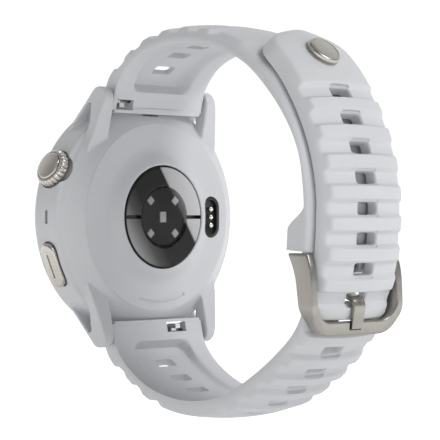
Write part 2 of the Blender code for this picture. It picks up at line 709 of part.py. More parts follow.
def spring_bar_room(obj, z, window):
    """The tunnel for the spring bar and the window for its release knob."""
    tunnel = cylinder("bar_tunnel", 1.1, -15, 15, 14)
    cut(obj, make_cutter(tunnel, shift(0, BAR_Y, z) @ X_AXIS))
    low, high = sorted((math.copysign(19.1, z), math.copysign(20.75, z)))
    cut(obj, make_cutter(box("release_window", (window[0], -3.9, low), (window[1], 1, high))))


def build_long_strap(long):
    strap = long.solid("long_strap", 0.0, long.line.length)
    place(strap, "strap_rubber")
    cut_holes(long, strap, long.hole_places + long.end_holes)
    cut(strap, make_cutter(cylinder("stud_hole", 1.3, -3, 7, 16), long.across(long.stud_s)))
    spring_bar_room(strap, -BAR_Z, LOWER_WINDOW)
    cut(strap, make_cutter(frame_shape("frame_dent", DENT_ROOM)))
    cut(strap, make_cutter(tongue_blade("tongue_dent", long, 0.8 + 2 * DENT_ROOM, 1.35 + DENT_ROOM)))


def build_short_strap(short):
    strap = short.solid("short_strap", 0.0, short.line.length)
    place(strap, "strap_rubber")
    y, z = BUCKLE_PIN_Y, BUCKLE_PIN_Z
    tab = [(41.2, -4.6), (45.2, -4.6)] + arc((y, z), 1.35, 20, -125, 7) + [(41.2, -6.6)]
    end = prism("strap_tab", [tab], -TAB_HALF, TAB_HALF)
    end.data.transform(SIDE_PLANE)
    boolean(strap, make_cutter(end), "UNION")
    cut(strap, make_cutter(cylinder("pin_tunnel", PIN_HOLE_R, -12, 12), shift(0, y, z) @ X_AXIS))
    cut(strap, make_cutter(box("tongue_slot", (-2.1, 40, -11), (2.1, 47, -6.1))))
    cut_holes(short, strap, short.hole_places)
    cut(strap, make_cutter(cylinder("stud_hole", 1.45, -6, 1, 16), short.tail.across(short.tail.stud_s)))
    spring_bar_room(strap, BAR_Z, UPPER_WINDOW)


def build_stud(long):
    """A disc on the tail with a peg that buttons into the short strap."""
    at = long.across(long.stud_s, long.top(long.stud_s) + CROWNING)
    stud = ((0, 1.15), (2.0, 1.1), (2.75, 0.9), (3.05, 0.5), (3.05, 0.3), (1.0, 0.3), (1.0, -5.2), (0, -5.2))
    place(turned("tail_stud", stud, 28), "titanium", at)


def build_spring_bar(name, z, knob_x, tip):
    """A spring bar: a tube with one fixed tip, and a sliding tip with its release knob and spring.
    The sliding tip points along X in the direction of tip, which is 1 or -1."""
    slide_from = abs(knob_x) - 2.3
    turn = X_AXIS if tip > 0 else X_AXIS @ Matrix.Rotation(math.pi, 4, "X")
    at = shift(0, BAR_Y, z) @ turn
    tube = ((0, slide_from - 5), (0.55, slide_from - 5), (0.55, slide_from), (0.78, slide_from),
            (0.78, -LUG_IN_X + 0.3), (0.5, -LUG_IN_X + 0.3), (0.5, -12.4), (0, -12.4))
    place(turned(f"{name}_bar_tube", tube, SMALL_STEPS), "steel", at)
    pin = ((0, 12.6), (0.5, 12.6), (0.5, LUG_IN_X - 0.3), (0.78, LUG_IN_X - 0.3), (0.78, slide_from + 2.0),
           (0.45, slide_from + 2.0), (0.45, slide_from - 1.8), (0, slide_from - 1.8))
    release = turned(f"{name}_release_pin", pin, SMALL_STEPS)
    place(release, "steel", at)
    side_view = ((-3.5, 21.2), (-3.5, 19.5), (-1.5, 19.5), (-1.5, 20.3), (-2.6, 20.3), (-2.6, 21.2))
    outline = [(y, math.copysign(height, z)) for y, height in side_view]
    knob = prism("release_knob", [outline], knob_x - 0.55, knob_x + 0.55)
    knob.data.transform(SIDE_PLANE)
    boolean(release, make_cutter(knob), "UNION")
    spring = coil(f"{name}_bar_spring", 0.36, 0.14, slide_from - 4.8, slide_from - 2.1, 3)
    place(spring, "steel", at)


# ---- buckle ----

FRAME_HEIGHTS = (-19.7, -18.0, -17.0, -16.0, -14.7, -12.4, -10.0, -8.0, -5.5)
FRAME_OUTSIDE = (46.15, 46.4, 46.6, 47.0, 47.2, 47.1, 46.75, 46.3, 45.6)
FRAME_WRIST_SIDE = (44.45, 44.9, 45.2, 44.6, 44.0, 43.65, 43.3, 42.75, 42.05)


def frame_shape(name, room=0.0):
    """The buckle's frame, or with some room the shape that clears it: a flat U, bent to follow the strap."""
    outer, inner = FRAME_HALF + room, FRAME_HALF - ARM_THICK - room
    top, low, sill = -5.8 + room, -19.4 - room, -17.0 + room
    outer_corner, inner_corner = 6.3 + room, 3.6 - room
    heights = [top - (top - low - outer_corner) * t / 5 for t in range(6)]
    inner_heights = [sill + inner_corner + (top - sill - inner_corner) * t / 5 for t in range(6)]
    right = [(outer, z) for z in heights[:-1]]
    right += arc((outer - outer_corner, low + outer_corner), outer_corner, 0, -90, 7)
    left = [(-x, z) for x, z in reversed(right)]
    inner_left = [(-inner, z) for z in reversed(inner_heights[1:])]
    inner_left += arc((-inner + inner_corner, sill + inner_corner), inner_corner, 180, 270, 6)
    inner_right = [(-x, z) for x, z in reversed(inner_left)]
    frame = prism(name, [right + left + inner_left + inner_right], -1, 1)
    for vertex in frame.data.vertices:
        x, z = vertex.co.x, vertex.co.y
        if vertex.co.z > 0:
            y = np.interp(z / MM, FRAME_HEIGHTS, FRAME_OUTSIDE) + room
        else:
            y = np.interp(z / MM, FRAME_HEIGHTS, FRAME_WRIST_SIDE) - room
        vertex.co = (x, float(y) * MM, z)
    frame.data.flip_normals()
    return frame


def build_buckle_frame(parent):
    frame = place(frame_shape("buckle_frame"), "titanium", None, parent)
    holes = cylinder("frame_pin_holes", PIN_HOLE_R, -10.7, 10.7)
    cut(frame, make_cutter(holes, shift(0, BUCKLE_PIN_Y, BUCKLE_PIN_Z) @ X_AXIS))
    cut(frame, make_cutter(box("tongue_notch", (-1.7, 45.7, -18.7), (1.7, 50, -16))))


def tongue_blade(name, long, thick, half_width):
    """A flat blade from the pin, out through the strap's hole and down over the frame's bar."""
    y, z = BUCKLE_PIN_Y, BUCKLE_PIN_Z
    hole = long.hole_places[TONGUE_HOLE]
    start, out = long.line.point(hole), long.line.normal(hole, long.side)
    down = np.array([out[1], -out[0]])
    inside, outside = start + 0.8 * out, start + 2.5 * out + 0.1 * down
    middle = Line(((y - 0.25, z - 1.2), (43.45, -10.4), start - 0.2 * out - 0.5 * down, inside, outside,
                   (46.98, -14.2), (46.98, -15.4), (46.45, -18.3)))
    places = np.linspace(0, middle.length, 18)
    one = [tuple(middle.point(s) + thick / 2 * middle.normal(s, 1)) for s in places]
    two = [tuple(middle.point(s) + thick / 2 * middle.normal(s, -1)) for s in reversed(places)]
    blade = prism(name, [one + two], -half_width, half_width)
    blade.data.transform(SIDE_PLANE)
    return blade


def build_buckle_tongue(long, parent):
    tongue = place(tongue_blade("buckle_tongue", long, 0.8, 1.35), "titanium", None, parent)
    y, z = BUCKLE_PIN_Y, BUCKLE_PIN_Z
    knuckle = cylinder("tongue_knuckle", 1.4, -1.35, 1.35, 18)
    boolean(tongue, make_cutter(knuckle, shift(0, y, z) @ X_AXIS), "UNION")
    cut(tongue, make_cutter(cylinder("tongue_bore", PIN_HOLE_R, -3, 3), shift(0, y, z) @ X_AXIS))


def main():
    build_case()
    build_front()
    build_inside()
    build_back_cover()
    build_charge_port()
    build_sensor()
    build_crown()
    build_button()
    long = LongStrap()
    short = ShortStrap(long)
    pin_axis = axis_empty("buckle_pin_axis", shift(0, BUCKLE_PIN_Y, BUCKLE_PIN_Z))
    build_long_strap(long)
    build_short_strap(short)
    build_stud(long)
    build_spring_bar("upper", BAR_Z, 8.9, 1)
    build_spring_bar("lower", -BAR_Z, -4.6, -1)
    at_pin = shift(0, BUCKLE_PIN_Y, BUCKLE_PIN_Z) @ X_AXIS
    place(cylinder("buckle_pin", PIN_R, -10.5, 10.5), "steel", at_pin)
    build_buckle_frame(pin_axis)
    build_buckle_tongue(long, pin_axis)


main()
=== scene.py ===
"""The look of a GPS running watch: smooth shells and rubber straps on the CAD pieces, in a white studio.

Lengths below are in millimetres and MM turns them into metres. +Z is 12 o'clock, +X is 3 o'clock and +Y
points from the case to the wrist. The origin is the middle of the sensor window.
"""

import json
import math

import bmesh
import bpy
import numpy as np
from mathutils import Matrix, Vector


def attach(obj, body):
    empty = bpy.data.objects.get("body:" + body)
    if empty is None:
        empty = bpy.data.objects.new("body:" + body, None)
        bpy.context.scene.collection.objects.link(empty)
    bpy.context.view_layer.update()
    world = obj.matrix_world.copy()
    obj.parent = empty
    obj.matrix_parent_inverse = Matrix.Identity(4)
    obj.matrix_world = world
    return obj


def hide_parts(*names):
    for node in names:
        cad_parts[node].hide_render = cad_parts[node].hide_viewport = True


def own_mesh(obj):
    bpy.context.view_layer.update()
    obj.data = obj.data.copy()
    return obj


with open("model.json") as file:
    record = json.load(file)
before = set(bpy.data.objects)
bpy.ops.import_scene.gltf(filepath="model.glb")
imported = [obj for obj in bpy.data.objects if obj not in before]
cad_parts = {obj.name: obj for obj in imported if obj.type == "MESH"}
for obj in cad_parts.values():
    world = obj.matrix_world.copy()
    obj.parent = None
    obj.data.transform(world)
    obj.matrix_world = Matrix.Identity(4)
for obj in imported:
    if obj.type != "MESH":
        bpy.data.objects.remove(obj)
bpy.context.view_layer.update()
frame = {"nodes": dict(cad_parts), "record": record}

MM = 0.001

CONTROL_ANGLE, CONTROL_Y = 23.5, -7.5
LUG_IN_X, FLAT_Z = 11.3, 18.8
BAR_Y, BAR_Z = -3.1, 21.5
COVER_R = 16.98
PORT_X, PINS_X = -13.0, -13.2
PIN_PLACES = (1.5, 0, -1.5)     # of the charging contacts, in z
DIODE_OFFSET = 2.95
ELECTRODE_GAP = 0.66
CROWN_R, CROWN_BASE = 3.45, 20.8
BUTTON_LENGTH, BUTTON_WIDTH = 8.4, 3.5
BUTTON_BASE, BUTTON_TOP = 20.9, 22.0
SHELL_VOXEL = 0.19
STRAP_HALF, TAIL_HALF = 10.75, 9.42
CROWNING, SIDE_WALL, CHAMFER = 0.82, 0.95, 1.05
GROOVE, GROOVE_LENGTH = 0.85, 2.9
HOLE_PITCH, HOLE_WIDTH, HOLE_HEIGHT = 4.87, 4.5, 2.05
STUD_FROM_END, HOLES_FROM_END = 6.4, 13.9       # along the long strap
POCKET_HALF = 6.8
PIN_Y, PIN_Z, PIN_HOLE_R = 43.9, -7.9, 0.83
FRAME_HALF, ARM_THICK = 11.05, 1.4
TONGUE_HALF, BLADE_THICK = 1.3, 0.8
GAP, DENT = 0.3, 0.22
CORNERS = ((1, 1), (-1, 1), (-1, -1), (1, -1))  # the signs of x and z, for lugs and diodes

# The line along which each strap's inner edges run, as (y, z), from its spring bar.
SHORT_LINE = ((-1.7, 19.3), (-0.5, 23.2), (2.7, 26.8), (7.5, 28.9), (13.5, 29.8), (19.5, 29.4), (25.5, 27.9),
              (31.5, 25.1), (36.6, 20.7), (40.8, 15.6), (43.5, 10.3), (44.6, 4.2), (44.75, -1.0), (44.5, -5.4))
LONG_LINE = ((-1.7, -19.3), (-0.5, -23.2), (3.2, -26.9), (9.2, -29.9), (17.0, -31.1), (25.0, -29.9),
             (31.8, -26.3), (37.8, -21.9), (41.7, -18.0), (44.1, -12.8), (45.6, -7.5), (46.2, -1.0),
             (46.1, 4.5), (44.8, 10.5), (42.2, 16.5), (38.6, 22.0), (35.0, 25.8), (31.6, 28.4))

FRAME_HEIGHTS = (-19.7, -18.0, -17.0, -16.0, -14.7, -12.4, -10.0, -8.0, -5.5)
FRAME_OUTSIDE = (46.1, 46.35, 46.55, 46.95, 47.15, 47.08, 46.95, 46.6, 45.7)
FRAME_WRIST_SIDE = (44.5, 44.8, 44.95, 44.4, 43.9, 43.55, 43.2, 42.55, 41.3)

Y_AXIS = Matrix.Rotation(math.radians(-90), 4, "X")      # a turned piece's axis goes from +Z to +Y
X_AXIS = Matrix.Rotation(math.radians(90), 4, "Y")
SIDE_PLANE = Matrix(((0, 0, 1, 0), (1, 0, 0, 0), (0, 1, 0, 0), (0, 0, 0, 1)))


# ---- materials ----

PAINTED_REFLECTION_ACROSS = (-844, 0, 536)     # the direction across which the sensor's painted reflection changes, times 1000 for millimetres
# How far the painted reflection's grey ramp reaches to each side of the sensor's middle, in millimetres.
PAINTED_REFLECTION_REACH = 10.0
WHITE = (0.61, 0.62, 0.64)
TITANIUM, PALE_TITANIUM, DARK_TITANIUM = (0.46, 0.44, 0.41), (0.62, 0.59, 0.55), (0.36, 0.345, 0.32)


class Nodes:
    """A material's node tree, with short ways to add and join nodes."""

    def __init__(self, name):
        self.material = bpy.data.materials.new(name)
        self.material.use_nodes = True
        self.tree = self.material.node_tree
        self.shader = self.tree.nodes["Principled BSDF"]

    def add(self, kind, **settings):
        node = self.tree.nodes.new(kind)
        for key, value in settings.items():
            if key in node.inputs:
                node.inputs[key].default_value = value
            else:
                setattr(node, key, value)
        return node

    def join(self, output, node, name):
        self.tree.links.new(output, node.inputs[name])


def scaled(nodes, scale):
    """Object coordinates in units of 1/scale metres along each axis."""
    where = nodes.add("ShaderNodeTexCoord")
    mapping = nodes.add("ShaderNodeMapping", Scale=scale)
    nodes.join(where.outputs["Object"], mapping, "Vector")
    return mapping.outputs["Vector"]


def noise(nodes, vector, scale=1.0, detail=3.0, roughness=0.55):
    texture = nodes.add("ShaderNodeTexNoise", Scale=scale, Detail=detail, Roughness=roughness)
    nodes.join(vector, texture, "Vector")
    return texture.outputs["Fac"]


def ramp(nodes, value, stops):
    """Colours at positions along a value."""
    node = nodes.add("ShaderNodeValToRGB")
    nodes.join(value, node, "Fac")
    while len(node.color_ramp.elements) < len(stops):
        node.color_ramp.elements.new(0.5)
    for element, (position, colour) in zip(node.color_ramp.elements, stops):
        element.position = position
        element.color = (*colour, 1.0)
    return node.outputs["Color"]


def spread(nodes, value, low, high):
    node = nodes.add("ShaderNodeMapRange", **{"To Min": low, "To Max": high, "From Min": 0.3, "From Max": 0.7})
    nodes.join(value, node, "Value")
    return node.outputs["Result"]


def bumped(nodes, height, strength, distance):
    bump = nodes.add("ShaderNodeBump", Strength=strength, Distance=distance)
    nodes.join(height, bump, "Height")
    nodes.join(bump.outputs["Normal"], nodes.shader, "Normal")


def clouded(nodes, value, colour, darkest, lightest):
    """A colour that varies with a noise value, between two factors."""
    ends = ((0.3, darkest), (0.7, lightest))
    return ramp(nodes, value, [(place, tuple(min(1.0, c * factor) for c in colour)) for place, factor in ends])


def moulded(name, colour, roughness, variation, grain, bump, coat=0.0):
    """A moulded plastic or rubber: fine grain, faint cloudiness and slightly polished patches."""
    nodes = Nodes(name)
    cloud = noise(nodes, scaled(nodes, (60, 60, 60)), 1.0, 4)
    nodes.join(clouded(nodes, cloud, colour, 1 - variation, 1 + variation), nodes.shader, "Base Color")
    patches = noise(nodes, scaled(nodes, (170, 170, 170)), 1.0, 5, 0.6)
    nodes.join(spread(nodes, patches, roughness - 0.05, roughness + 0.05), nodes.shader, "Roughness")
    bumped(nodes, noise(nodes, scaled(nodes, (grain, grain, grain)), 1.0, 2), bump, 0.00002)
    nodes.shader.inputs["Coat Weight"].default_value = coat
    nodes.shader.inputs["Coat Roughness"].default_value = 0.2
    return nodes.material


def brushed(name, colour, roughness, along, bump, variation=0.1):
    """A metal with fine lines: the noise is stretched where along is small."""
    nodes = Nodes(name)
    lines = noise(nodes, scaled(nodes, tuple(5000 * a for a in along)), 1.0, 3, 0.7)
    cloud = noise(nodes, scaled(nodes, (120, 120, 120)), 1.0, 4)
    mix = nodes.add("ShaderNodeMath", operation="MULTIPLY_ADD")
    nodes.join(lines, mix, 0)
    mix.inputs[1].default_value = 0.6
    share = nodes.add("ShaderNodeMath", operation="MULTIPLY")
    nodes.join(cloud, share, 0)
    share.inputs[1].default_value = 0.4
    nodes.join(share.outputs[0], mix, 2)
    nodes.join(clouded(nodes, mix.outputs[0], colour, 1 - variation, 1 + variation), nodes.shader, "Base Color")
    nodes.join(spread(nodes, lines, roughness - 0.06, roughness + 0.08), nodes.shader, "Roughness")
    nodes.shader.inputs["Metallic"].default_value = 1.0
    bumped(nodes, lines, bump, 0.00001)
    return nodes.material


def ringed(name, colour, roughness, centre, axis):
    """A turned metal, with fine circles about an axis through a centre."""
    nodes = Nodes(name)
    where = nodes.add("ShaderNodeTexCoord")
    off = nodes.add("ShaderNodeVectorMath", operation="SUBTRACT")
    nodes.join(where.outputs["Object"], off, 0)
    off.inputs[1].default_value = centre
    cross = nodes.add("ShaderNodeVectorMath", operation="CROSS_PRODUCT")
    nodes.join(off.outputs["Vector"], cross, 0)
    cross.inputs[1].default_value = axis
    length = nodes.add("ShaderNodeVectorMath", operation="LENGTH")
    nodes.join(cross.outputs["Vector"], length, 0)
    lines = nodes.add("ShaderNodeTexNoise", noise_dimensions="1D", Scale=9000, Detail=2.0)
    nodes.join(length.outputs["Value"], lines, "W")
    nodes.join(clouded(nodes, lines.outputs["Fac"], colour, 0.88, 1.12), nodes.shader, "Base Color")
    nodes.join(spread(nodes, lines.outputs["Fac"], roughness - 0.05, roughness + 0.07), nodes.shader, "Roughness")
    nodes.shader.inputs["Metallic"].default_value = 1.0
    bumped(nodes, lines.outputs["Fac"], 0.08, 0.00001)
    return nodes.material


def glassy(name, colour, roughness):
    """Dark polished glass, with faint smears in its gloss."""
    nodes = Nodes(name)
    cloud = noise(nodes, scaled(nodes, (90, 90, 90)), 1.0, 4)
    nodes.join(clouded(nodes, cloud, colour, 0.8, 1.25), nodes.shader, "Base Color")
    smears = noise(nodes, scaled(nodes, (240, 90, 240)), 1.0, 5, 0.65)
    nodes.join(spread(nodes, smears, roughness, roughness + 0.05), nodes.shader, "Roughness")
    bumped(nodes, smears, 0.02, 0.00001)
    return nodes.material


def coated_with_painted_reflection(name, stops, roughness, metallic, alpha=1.0):
    """The sensor's dark coating. Its light and dark sides are painted on, where a studio reflection would fall, and
    stay fixed to the watch. Stops are (millimetres from the middle, grey)."""
    nodes = Nodes(name)
    where = nodes.add("ShaderNodeTexCoord")
    across = nodes.add("ShaderNodeVectorMath", operation="DOT_PRODUCT")
    nodes.join(where.outputs["Object"], across, 0)
    across.inputs[1].default_value = PAINTED_REFLECTION_ACROSS
    share = nodes.add("ShaderNodeMapRange", **{"From Min": -PAINTED_REFLECTION_REACH, "From Max": PAINTED_REFLECTION_REACH})
    nodes.join(across.outputs["Value"], share, "Value")
    colours = [((place + PAINTED_REFLECTION_REACH) / (2 * PAINTED_REFLECTION_REACH), (grey, grey, grey * 1.02)) for place, grey in stops]
    nodes.join(ramp(nodes, share.outputs["Result"], colours), nodes.shader, "Base Color")
    smears = noise(nodes, scaled(nodes, (300, 300, 300)), 1.0, 5, 0.6)
    nodes.join(spread(nodes, smears, roughness, roughness + 0.06), nodes.shader, "Roughness")
    nodes.shader.inputs["Metallic"].default_value = metallic
    nodes.shader.inputs["Specular IOR Level"].default_value = 0.25
    nodes.shader.inputs["Alpha"].default_value = alpha
    return nodes.material


# The lens's grey stops are a painted reflection: near black on one side of a hard edge, light grey on the other.
LENS = coated_with_painted_reflection("sensor_glass", ((-9, 0.02), (-3, 0.008), (3.7, 0.008), (4.25, 0.25), (8, 0.4)), 0.06, 0.0, 0.22)
LOOKS = {
    "case_polymer": moulded("case_polymer", WHITE, 0.42, 0.02, 7000, 0.08, coat=0.1),
    "strap_rubber": moulded("strap_rubber", (0.62, 0.63, 0.65), 0.55, 0.025, 6000, 0.15),
    "titanium": brushed("titanium", TITANIUM, 0.3, (1, 0.04, 1), 0.12),
    "steel": brushed("steel", (0.6, 0.6, 0.61), 0.25, (0.05, 1, 1), 0.1),
    "glass": glassy("glass", (0.012, 0.012, 0.014), 0.04),
    # The metal halves' grey stops are a painted reflection: dark on one side of a hard edge, light on the other, with
    # a painted sheen fading out at the far side.
    "mirror_metal": coated_with_painted_reflection("mirror_metal", ((-9, 0.36), (-7, 0.18), (-5.5, 0.07), (-3, 0.012), (3.75, 0.01),
                                            (4.25, 0.46), (8, 0.55)), 0.12, 0.15),
    "black_plastic": moulded("black_plastic", (0.012, 0.012, 0.013), 0.35, 0.25, 3000, 0.1),
    "gold": brushed("gold", (0.8, 0.62, 0.3), 0.22, (1, 1, 0.1), 0.05),
    "board_green": moulded("board_green", (0.02, 0.12, 0.06), 0.45, 0.3, 900, 0.3, coat=0.3),
    "silicon": moulded("silicon", (0.95, 0.95, 0.92), 0.3, 0.12, 2500, 0.1, coat=0.3),
    "battery_foil": brushed("battery_foil", (0.55, 0.56, 0.58), 0.35, (0.2, 1, 1), 0.2),
    "seal_rubber": moulded("seal_rubber", (0.02, 0.02, 0.02), 0.7, 0.2, 3500, 0.2),
}


# ---- shapes ----

def shift(x=0.0, y=0.0, z=0.0):
    return Matrix.Translation((x * MM, y * MM, z * MM))


def radial(angle, distance=0.0):
    """A place on the case's side: local Z points outwards and local X goes round the case towards 12 o'clock."""
    a = math.radians(angle)
    out = Vector((math.cos(a), 0, math.sin(a)))
    along = Vector((-math.sin(a), 0, math.cos(a)))
    axes = Matrix((along, out.cross(along), out)).transposed().to_4x4()
    return shift(out.x * distance, CONTROL_Y, out.z * distance) @ axes


def axis_of(at):
    """A place's origin, and the direction of its local Z."""
    origin = at @ Vector((0, 0, 0))
    return tuple(origin), tuple(at @ Vector((0, 0, 1)) - origin)


def object_from(name, bm, matrix=None):
    """An object with its vertices in world coordinates."""
    bmesh.ops.recalc_face_normals(bm, faces=bm.faces)
    mesh = bpy.data.meshes.new(name)
    bm.to_mesh(mesh)
    bm.free()
    if matrix:
        mesh.transform(matrix)
    obj = bpy.data.objects.new(name, mesh)
    bpy.context.scene.collection.objects.link(obj)
    return obj


def loft(name, rows, matrix=None, closed_ends=True, ring=False):
    """A skin over loops of points, in millimetres. With ring, the last loop joins the first."""
    bm = bmesh.new()
    loops = [[bm.verts.new([c * MM for c in p]) for p in row] for row in rows]
    pairs = list(zip(loops, loops[1:])) + ([(loops[-1], loops[0])] if ring else [])
    for a, b in pairs:
        for i in range(len(a)):
            j = (i + 1) % len(a)
            bm.faces.new((a[i], a[j], b[j], b[i]))
    if closed_ends and not ring:
        bm.faces.new(loops[0])
        bm.faces.new(loops[-1])
    return object_from(name, bm, matrix)


def lathe(name, profile, matrix=None, steps=128, notches=0, notch_rows=(), notch_depth=0.0):
    """A profile of (radius, height) turned about local Z. Rows in notch_rows get notches round them."""
    rows = []
    for index, (radius, height) in enumerate(profile):
        row = []
        for i in range(steps):
            a = math.tau * i / steps
            r = max(radius, 0.004)
            if index in notch_rows:
                wave = 0.5 + 0.5 * math.cos(a * notches)
                r -= notch_depth * max(0.0, (wave - 0.72) / 0.28) ** 0.7
            row.append((r * math.cos(a), r * math.sin(a), height))
        rows.append(row)
    return loft(name, rows, matrix)


def turned_ring(name, profile, matrix=None, steps=128):
    """A closed profile turned about local Z."""
    rows = [[(r * math.cos(a), r * math.sin(a), h) for r, h in profile]
            for a in np.linspace(0, math.tau, steps, endpoint=False)]
    return loft(name, rows, matrix, ring=True)


def prism(name, outline, low, high, matrix=None):
    """A flat outline made solid between two local heights."""
    return loft(name, [[(x, y, low) for x, y in outline], [(x, y, high) for x, y in outline]], matrix)


def box(name, low, high, matrix=None):
    return prism(name, ((low[0], low[1]), (high[0], low[1]), (high[0], high[1]), (low[0], high[1])),
                 low[2], high[2], matrix)


def cylinder(name, radius, low, high, matrix=None, steps=48):
    return prism(name, arc((0, 0), radius, 0, 360 - 360 / steps, steps - 1), low, high, matrix)


def arc(centre, radius, start, end, steps):
    angles = np.radians(np.linspace(start, end, steps + 1))
    return [(centre[0] + radius * math.cos(a), centre[1] + radius * math.sin(a)) for a in angles]


def pill(length, width, steps=16):
    r, straight = width / 2, (length - width) / 2
    return arc((straight, 0), r, -90, 90, steps) + arc((-straight, 0), r, 90, 270, steps)


def rounded_rectangle(width, height, radius, steps=5):
    x, y = width / 2 - radius, height / 2 - radius
    corners = ((x, y, 0), (-x, y, 90), (-x, -y, 180), (x, -y, 270))
    return [p for cx, cy, a in corners for p in arc((cx, cy), radius, a, a + 90, steps)]


def joined(name, objects):
    """Several objects as one, their meshes side by side."""
    bm = bmesh.new()
    for obj in objects:
        bm.from_mesh(obj.data)
        bpy.data.objects.remove(obj)
    return object_from(name, bm)


def boolean(obj, other, operation="DIFFERENCE"):
    """Applies a Boolean and removes the other shape."""
    modifier = obj.modifiers.new("boolean", "BOOLEAN")
    modifier.operation = operation
    modifier.solver = "EXACT"
    modifier.object = other
    apply_modifiers(obj)
    bpy.data.objects.remove(other)
    return obj


def apply_modifiers(obj):
    bpy.context.view_layer.update()
    evaluated = obj.evaluated_get(bpy.context.evaluated_depsgraph_get())
    mesh = bpy.data.meshes.new_from_object(evaluated)
    obj.modifiers.clear()
    obj.data = mesh
    return obj


def bevelled(obj, width, segments=3, angle=35):
    modifier = obj.modifiers.new("bevel", "BEVEL")
    modifier.width = width * MM
    modifier.segments = segments
    modifier.limit_method = "ANGLE"
    modifier.angle_limit = math.radians(angle)
    return apply_modifiers(obj)


def piece(obj, slot, body, *nodes, material=None, smooth_angle=40):
    """Dresses a visual piece, and lets it ride with its body in place of the CAD nodes it stands for."""
    obj.data.materials.clear()
    obj.data.materials.append(material or LOOKS[slot])
    obj.data.shade_smooth()
    obj.data.set_sharp_from_angle(angle=math.radians(smooth_angle))
    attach(obj, body)
    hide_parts(*nodes)
    return obj


# ---- case ----

def lug_outlines():
    """The side view of a lug: a frame with a rounded tip and a three-cornered opening."""
    tip = arc((-2.9, 21.0), 2.15, 150, 0, 16)
    outside = [(-11.1, 12.4), (-11.1, 13.6)] + tip
    outside += [(-1.0, 19.5), (-1.6, 17), (-2.4, 14.0), (-3.2, 11.5), (-5.2, 10.6)]
    opening = [(-10.0, 14.0)] + arc((-4.95, 19.75), 0.65, 140, -10, 6) + [(-3.95, 17.0), (-4.6, 13.6)]
    return outside, opening


def lug(name, outline, low, high, side_x, side_z):
    """One lug's flat shape, which widens from its tip towards the case."""
    shape = prism(name, outline, low, high, SIDE_PLANE)
    for vertex in shape.data.vertices:
        if vertex.co.x > (LUG_IN_X + 1) * MM:
            vertex.co.x += 0.22 * max(0.0, 22 * MM - vertex.co.z)
    shape.data.transform(Matrix.Diagonal((side_x, 1, side_z, 1)))
    return joined(name, [shape])


def build_case_shell():
    """The side wall, shoulder and lugs in one smooth skin, cut by everything that sits in it."""
    profile = ((15.0, -11.3), (20.65, -11.3), (20.85, -11.2), (21.2, -10.7), (21.27, -10.3), (21.27, -5.0),
               (21.15, -4.75), (20.75, -4.55), (20.4, -4.35), (20.2, -4.0), (18.7, -2.9), (17.3, -1.85),
               (16.9, -1.68), (15.0, -1.62))
    shell = turned_ring("case_shell", profile, Y_AXIS, 160)
    for z in (1, -1):
        low, high = sorted((z * (FLAT_Z + 0.1), z * 26))
        boolean(shell, box("flat", (-LUG_IN_X, -14, low), (LUG_IN_X, 2, high)))
    outside, opening = lug_outlines()
    for x, z in CORNERS:
        body = lug("lug", outside, LUG_IN_X, 13.25, x, z)
        boolean(body, lug("opening", opening, LUG_IN_X - 2, 15.3, x, z))
        boolean(shell, body, "UNION")
    remesh = shell.modifiers.new("remesh", "REMESH")
    remesh.mode = "VOXEL"
    remesh.voxel_size = SHELL_VOXEL * MM
    smooth = shell.modifiers.new("smooth", "SMOOTH")
    smooth.factor = 0.5
    smooth.iterations = 5
    apply_modifiers(shell)
    boolean(shell, cylinder("middle", 17.0, -12, 2, Y_AXIS, 180))
    boolean(shell, cylinder("crown_pocket", CROWN_R + 0.2, 19.9, 25, radial(CONTROL_ANGLE), 72))
    boolean(shell, prism("button_pocket", pill(BUTTON_LENGTH + 0.4, BUTTON_WIDTH + 0.4), 19.9, 25,
                         radial(-CONTROL_ANGLE)))
    drills = [cylinder("shaft", 1.75, 12, 21, radial(a)) for a in (CONTROL_ANGLE, -CONTROL_ANGLE)]
    drills.append(prism("mic", pill(2.5, 0.75), 12, 24, radial(0)))
    drills += [cylinder("bar_hole", 0.7, -12.9, 12.9, shift(0, BAR_Y, z) @ X_AXIS) for z in (BAR_Z, -BAR_Z)]
    drills.append(box("strap_notch", (-0.9, -5.0, 18.2), (2.9, 1.0, 19.5)))
    for drill in drills:
        boolean(shell, drill)
    piece(shell, "case_polymer", "case", "case_middle", smooth_angle=50)


def build_back_cover():
    """The flat ring with its cove down to the sensor, an engraved arc and the charging port's hole."""
    outside = [(9.35, -0.3), (9.45, -0.2), (9.6, -0.16), (9.9, -0.24), (10.3, -0.42), (10.8, -0.75), (11.3, -1.05),
               (11.9, -1.3), (12.5, -1.45), (12.9, -1.5), (14.9, -1.56), (16.8, -1.64), (COVER_R, -1.68),
               (COVER_R, -3.2), (15.4, -3.3), (9.4, -2.9), (9.35, -2.7)]
    cover = turned_ring("back_cover_disc", outside, Y_AXIS, 180)
    groove = [(15.15, 0.6), (15.6, 0.6), (15.6, -1.74), (15.15, -1.74)]
    rows = [[(r * math.cos(a), r * math.sin(a), h) for r, h in groove]
            for a in np.radians(np.linspace(72, 114, 40))]
    boolean(cover, loft("engraved_arc", rows, Y_AXIS))
    upright = shift(PORT_X) @ Y_AXIS @ Matrix.Rotation(math.radians(90), 4, "Z")
    boolean(cover, prism("port_hole", pill(7.7, 4.3), -8, 2, upright))
    piece(bevelled(cover, 0.08, 2, 50), "case_polymer", "case", "back_cover")
    lip = prism("socket_lip", pill(7.4, 4.0), -3.9, -1.62, upright)
    boolean(lip, prism("socket_recess", pill(6.5, 3.1), -2.4, 1, upright))
    for z in PIN_PLACES:
        boolean(lip, cylinder("pin_hole", 0.56, -5, -1, shift(PINS_X, 0, z) @ Y_AXIS))
    piece(bevelled(lip, 0.12, 3), "black_plastic", "case", "charge_socket")
    pale = brushed("contact_plating", (0.86, 0.84, 0.79), 0.2, (1, 1, 0.2), 0.05, 0.05)
    for number, z in enumerate(PIN_PLACES, 1):
        profile = ((0, -3.7), (0.5, -3.7), (0.5, -1.75), (0.44, -1.6), (0.28, -1.5), (0, -1.46))
        pin = lathe(f"contact_{number}", profile, shift(PINS_X, 0, z) @ Y_AXIS, 40)
        piece(pin, "gold", "case", f"charge_pin_{number}", material=pale)


